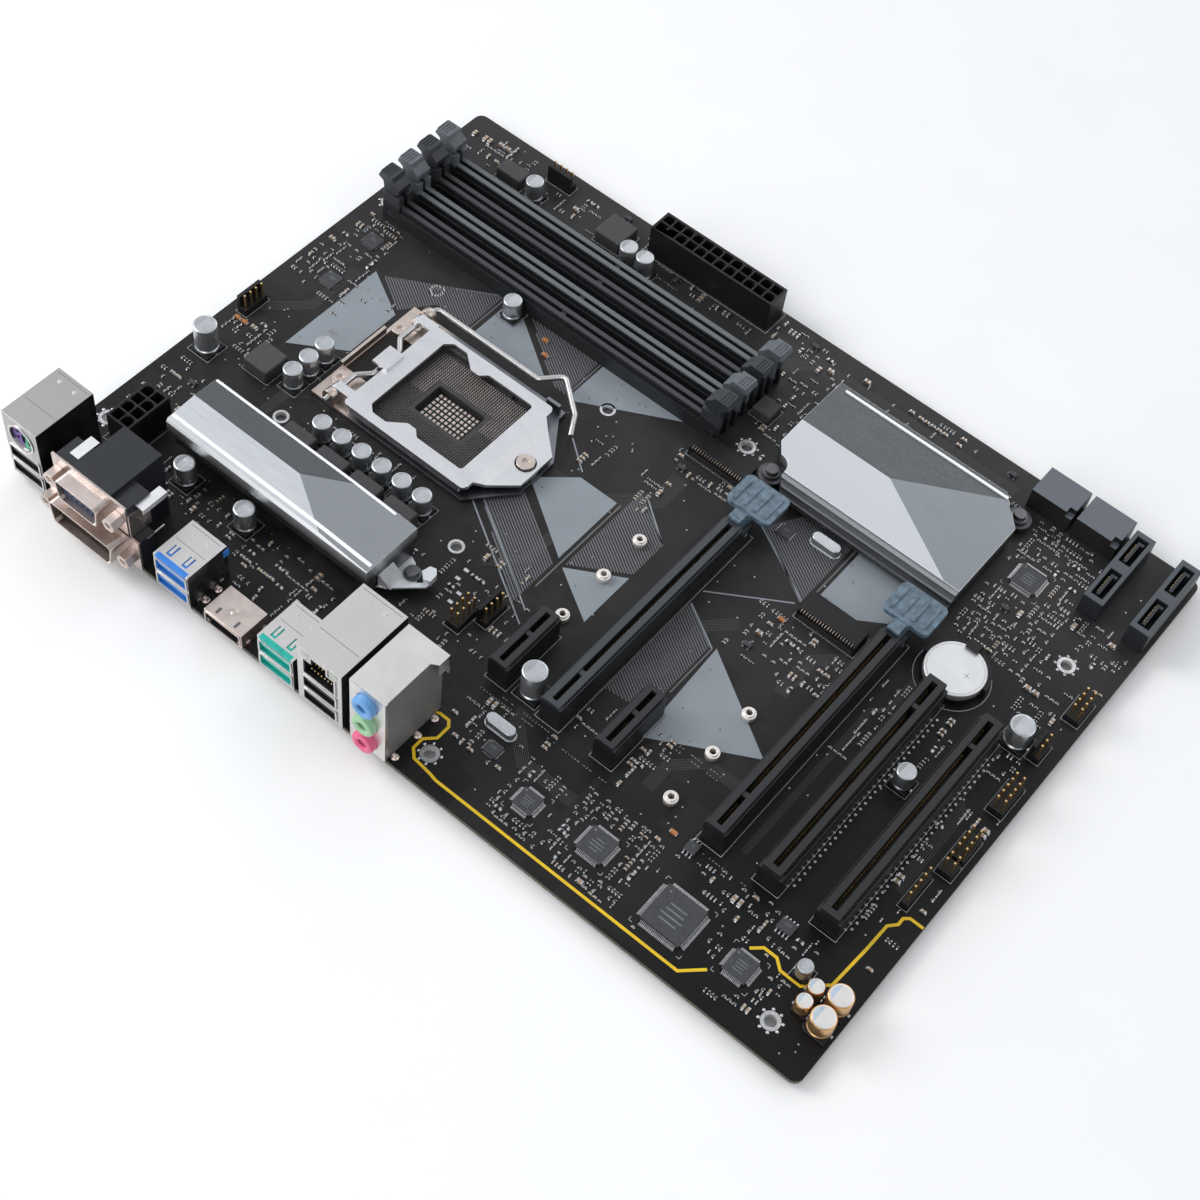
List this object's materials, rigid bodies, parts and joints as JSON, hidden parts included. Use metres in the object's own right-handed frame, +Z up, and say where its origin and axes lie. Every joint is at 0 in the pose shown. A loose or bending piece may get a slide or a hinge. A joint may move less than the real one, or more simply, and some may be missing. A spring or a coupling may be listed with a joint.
{
  "type": "computer motherboard",
  "caption": "Dark full-size computer mainboard with lever-locked processor socket, memory and card slots, faceted heatsinks, rear port cluster and can capacitors.",
  "frame": {"origin": "middle of the footprint, at the level of the soldered tails' ends and the socket backplate's face", "axes": "+X runs along the length from the processor end to the slot end, +Y from the rear connector edge to the front edge, +Z up from the component side"},
  "size_m": [0.3048, 0.228, 0.0346],
  "materials": {
    "board_laminate": "matt solder mask over glass-fibre laminate",
    "heatsink_aluminium": "satin, partly dark anodised facets",
    "spring_steel": "bright nickel-plated pressed steel",
    "dark_steel": "dull backplate steel",
    "port_steel": "tin-plated sheet",
    "socket_plastic": "moulded, matt",
    "black_plastic": "moulded, matt",
    "grey_plastic": "moulded, matt",
    "light_grey_plastic": "moulded, matt",
    "smoke_plastic": "translucent moulded plastic",
    "blue_plastic": "moulded, gloss",
    "teal_plastic": "moulded, gloss",
    "jack_plastic": "moulded: blue, green and pink from the top",
    "purple_green_plastic": "moulded: half purple, half green",
    "can_aluminium": "bright can top",
    "gold_can": "gold-coloured can sleeve",
    "contact_gold": "gold flash on phosphor bronze",
    "chip_epoxy": "moulded epoxy",
    "choke_powder": "pressed iron powder",
    "cell_steel": "bright stainless",
    "pad_silicone": "soft silicone",
    "solder": "bright tin solder",
    "silicon_package": "laminate package"
  },
  "bodies": {
    "board": {"circuit_board": "board_laminate", "vrm_heatsink": "heatsink_aluminium", "chipset_heatsink": "heatsink_aluminium", "heatsink_pins": "spring_steel", "mosfets": "chip_epoxy", "chipset": "silicon_package", "thermal_pads": "pad_silicone", "cpu_socket": "socket_plastic", "socket_contacts": "contact_gold", "socket_frame": "spring_steel", "socket_screws": "spring_steel", "socket_backplate": "dark_steel", "main_power_connector": "black_plastic", "cpu_power_connector": "black_plastic", "terminal_pins": "contact_gold", "pin_headers": "black_plastic", "graphics_slot": "grey_plastic", "expansion_slot": "black_plastic", "x1_slots": "black_plastic", "pci_slots": "black_plastic", "m2_connectors": "black_plastic", "m2_standoffs": "spring_steel", "sata_ports": "grey_plastic", "keyboard_port_shell": "port_steel", "keyboard_port_inserts": "purple_green_plastic", "video_housing": "black_plastic", "video_port_shells": "port_steel", "video_jackscrews": "spring_steel", "usb_blue_shell": "port_steel", "usb_blue_tongues": "blue_plastic", "usb_teal_shell": "port_steel", "usb_teal_tongues": "teal_plastic", "hdmi_port": "port_steel", "lan_port_shell": "port_steel", "audio_housing": "port_steel", "audio_jacks": "jack_plastic", "polymer_capacitors": "can_aluminium", "audio_capacitors": "gold_can", "chokes": "choke_powder", "controller_chips": "chip_epoxy", "crystals": "cell_steel", "coin_cell": "cell_steel", "battery_holder": "black_plastic", "solder_tails": "solder", "memory_slot_1": "grey_plastic", "memory_slot_2": "black_plastic", "memory_slot_3": "grey_plastic", "memory_slot_4": "black_plastic"},
    "socket_lever": {"socket_lever": "spring_steel"},
    "load_plate": {"load_plate": "spring_steel"},
    "graphics_slot_retainer": {"graphics_slot_retainer": "smoke_plastic"},
    "expansion_slot_retainer": {"expansion_slot_retainer": "smoke_plastic"},
    "memory_latch_1_left": {"memory_latch_1_left": "light_grey_plastic"},
    "memory_latch_1_right": {"memory_latch_1_right": "light_grey_plastic"},
    "memory_latch_2_left": {"memory_latch_2_left": "black_plastic"},
    "memory_latch_2_right": {"memory_latch_2_right": "black_plastic"},
    "memory_latch_3_left": {"memory_latch_3_left": "light_grey_plastic"},
    "memory_latch_3_right": {"memory_latch_3_right": "light_grey_plastic"},
    "memory_latch_4_left": {"memory_latch_4_left": "black_plastic"},
    "memory_latch_4_right": {"memory_latch_4_right": "black_plastic"}
  },
  "joints": [
    {"name": "lever_hinge", "type": "hinge", "parent": "board", "child": "socket_lever", "pos_m": [-0.0988, 0.0002, 0.008], "axis": [0, -1, 0], "range_deg": [0, 130]},
    {"name": "load_plate_hinge", "type": "hinge", "parent": "board", "child": "load_plate", "pos_m": [-0.0988, 0.0002, 0.008], "axis": [0, -1, 0], "range_deg": [0, 117]},
    {"name": "memory_latch_1_left_hinge", "type": "hinge", "parent": "board", "child": "memory_latch_1_left", "pos_m": [-0.1403, 0.055, 0.0072], "axis": [0, -1, 0], "range_deg": [0, 30]},
    {"name": "memory_latch_1_right_hinge", "type": "hinge", "parent": "board", "child": "memory_latch_1_right", "pos_m": [0.0001, 0.055, 0.0072], "axis": [0, 1, 0], "range_deg": [0, 30]},
    {"name": "memory_latch_2_left_hinge", "type": "hinge", "parent": "board", "child": "memory_latch_2_left", "pos_m": [-0.1403, 0.0646, 0.0072], "axis": [0, -1, 0], "range_deg": [0, 30]},
    {"name": "memory_latch_2_right_hinge", "type": "hinge", "parent": "board", "child": "memory_latch_2_right", "pos_m": [0.0001, 0.0646, 0.0072], "axis": [0, 1, 0], "range_deg": [0, 30]},
    {"name": "memory_latch_3_left_hinge", "type": "hinge", "parent": "board", "child": "memory_latch_3_left", "pos_m": [-0.1403, 0.0742, 0.0072], "axis": [0, -1, 0], "range_deg": [0, 30]},
    {"name": "memory_latch_3_right_hinge", "type": "hinge", "parent": "board", "child": "memory_latch_3_right", "pos_m": [0.0001, 0.0742, 0.0072], "axis": [0, 1, 0], "range_deg": [0, 30]},
    {"name": "memory_latch_4_left_hinge", "type": "hinge", "parent": "board", "child": "memory_latch_4_left", "pos_m": [-0.1403, 0.0838, 0.0072], "axis": [0, -1, 0], "range_deg": [0, 30]},
    {"name": "memory_latch_4_right_hinge", "type": "hinge", "parent": "board", "child": "memory_latch_4_right", "pos_m": [0.0001, 0.0838, 0.0072], "axis": [0, 1, 0], "range_deg": [0, 30]},
    {"name": "graphics_slot_retainer_hinge", "type": "hinge", "parent": "board", "child": "graphics_slot_retainer", "pos_m": [0.0302, 0.0265, 0.0078], "axis": [-1, 0, 0], "range_deg": [0, 20]},
    {"name": "expansion_slot_retainer_hinge", "type": "hinge", "parent": "board", "child": "expansion_slot_retainer", "pos_m": [0.0909, 0.0265, 0.0078], "axis": [-1, 0, 0], "range_deg": [0, 20]}
  ],
  "couplings": [
    {"joint": "load_plate_hinge", "follows": "lever_hinge", "ratio": 0.9}
  ]
}
